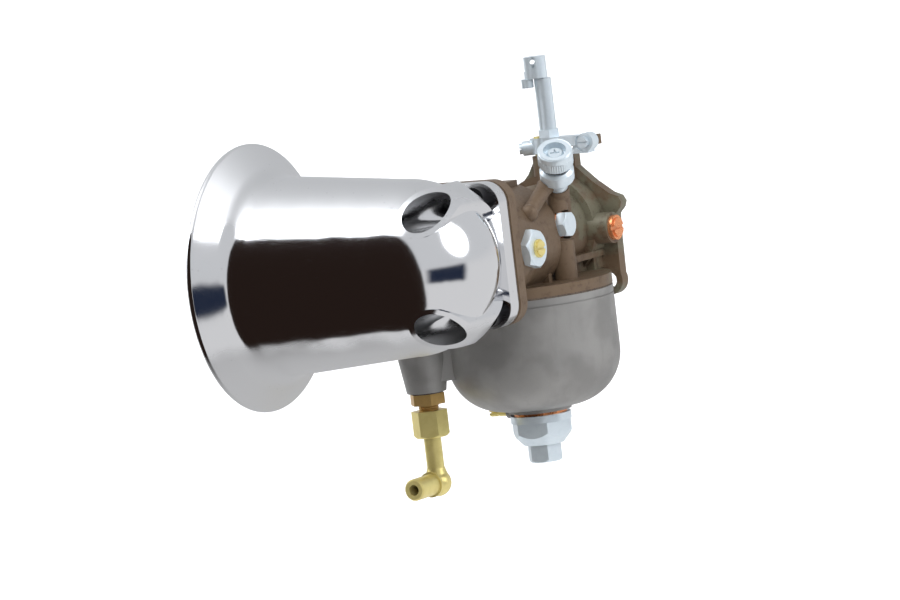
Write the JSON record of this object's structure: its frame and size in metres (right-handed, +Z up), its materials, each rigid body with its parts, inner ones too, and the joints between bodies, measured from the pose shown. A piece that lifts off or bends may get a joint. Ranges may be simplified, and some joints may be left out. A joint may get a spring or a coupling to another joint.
{
  "type": "carburetor",
  "caption": "Side-draft float-bowl carburetor with a polished elbow velocity horn, a swinging throttle lever, an adjustable needle and a brass fuel elbow.",
  "frame": {"origin": "centre of the throat on the manifold face", "axes": "+Y out of the manifold face along the throat, +Z up along the throttle shaft, -X the way the horn mouth faces"},
  "size_m": [0.1062, 0.18, 0.1698],
  "materials": {
    "bronze_casting": "rough cast, dull brown",
    "cast_aluminium": "fine cast, satin grey",
    "polished_aluminium": "polished, with fine scratches",
    "zinc_steel": "bright zinc plate",
    "brass": "machined",
    "red_brass": "machined",
    "copper": "dull copper",
    "black_steel": "black oxide",
    "gasket": "matte",
    "cork": "sealed cork"
  },
  "bodies": {
    "carburetor_frame": {"body": "bronze_casting", "venturi": "cast_aluminium", "main_nozzle": "brass", "idle_tube": "brass", "needle_gland": "zinc_steel", "ratchet_washer": "black_steel", "venturi_screw": "brass", "venturi_lock_nut": "zinc_steel", "passage_screw": "zinc_steel", "passage_washer": "copper", "flange_plug": "copper", "air_horn": "polished_aluminium", "horn_gasket": "gasket", "horn_screws": "black_steel", "float_bowl": "cast_aluminium", "bowl_gasket": "gasket", "bowl_nut": "zinc_steel", "bowl_nut_collar": "zinc_steel", "bowl_nut_washer": "copper", "drain_plug": "brass", "float_pin": "zinc_steel", "valve_seat": "red_brass", "seat_washer": "gasket", "inlet_nut": "brass", "inlet_elbow": "brass"},
    "throttle": {"throttle_shaft": "brass", "throttle_disc": "brass", "disc_screws": "brass", "throttle_lever": "zinc_steel", "lever_pinch_screw": "zinc_steel"},
    "stop_screw": {"idle_stop_screw": "zinc_steel"},
    "cable_swivel": {"cable_clamp": "zinc_steel", "cable_clamp_screw": "zinc_steel"},
    "needle": {"low_speed_needle": "brass"},
    "knob": {"needle_knob": "zinc_steel", "knob_screw": "zinc_steel"},
    "float_arm": {"float": "cork", "float_lever": "brass"},
    "inlet_valve": {"float_valve": "brass"}
  },
  "joints": [
    {"name": "throttle_turn", "type": "hinge", "parent": "carburetor_frame", "child": "throttle", "pos_m": [0, -0.0112, 0], "axis": [0, 0, 1], "range_deg": [-58, 0]},
    {"name": "stop_screw_travel", "type": "slide", "parent": "throttle", "child": "stop_screw", "axis": [0, 1, 0], "range_m": [-0.0025, 0]},
    {"name": "cable_swivel_turn", "type": "hinge", "parent": "throttle", "child": "cable_swivel", "pos_m": [0.0041, -0.0112, 0.0613], "axis": [0, 0, 1], "range_deg": [-60, 60]},
    {"name": "needle_travel", "type": "slide", "parent": "carburetor_frame", "child": "needle", "axis": [0.3009, -0.5212, 0.7986], "range_m": [0, 0.003]},
    {"name": "knob_turn", "type": "hinge", "parent": "needle", "child": "knob", "pos_m": [0.02702, -0.04938, 0.03177], "axis": [0.3009, -0.5212, 0.7986], "range_deg": [0, 1080]},
    {"name": "float_swing", "type": "hinge", "parent": "carburetor_frame", "child": "float_arm", "pos_m": [-0.02633, -0.05847, -0.0328], "axis": [0.6211, -0.7837, 0], "range_deg": [-1, 4]},
    {"name": "valve_lift", "type": "slide", "parent": "carburetor_frame", "child": "inlet_valve", "axis": [0, 0, 1], "range_m": [-0.00085, 0.0003]}
  ],
  "couplings": [
    {"joint": "needle_travel", "follows": "knob_turn", "m_per_rad": 0.00012732},
    {"joint": "valve_lift", "follows": "float_swing", "m_per_rad": -0.0114}
  ]
}
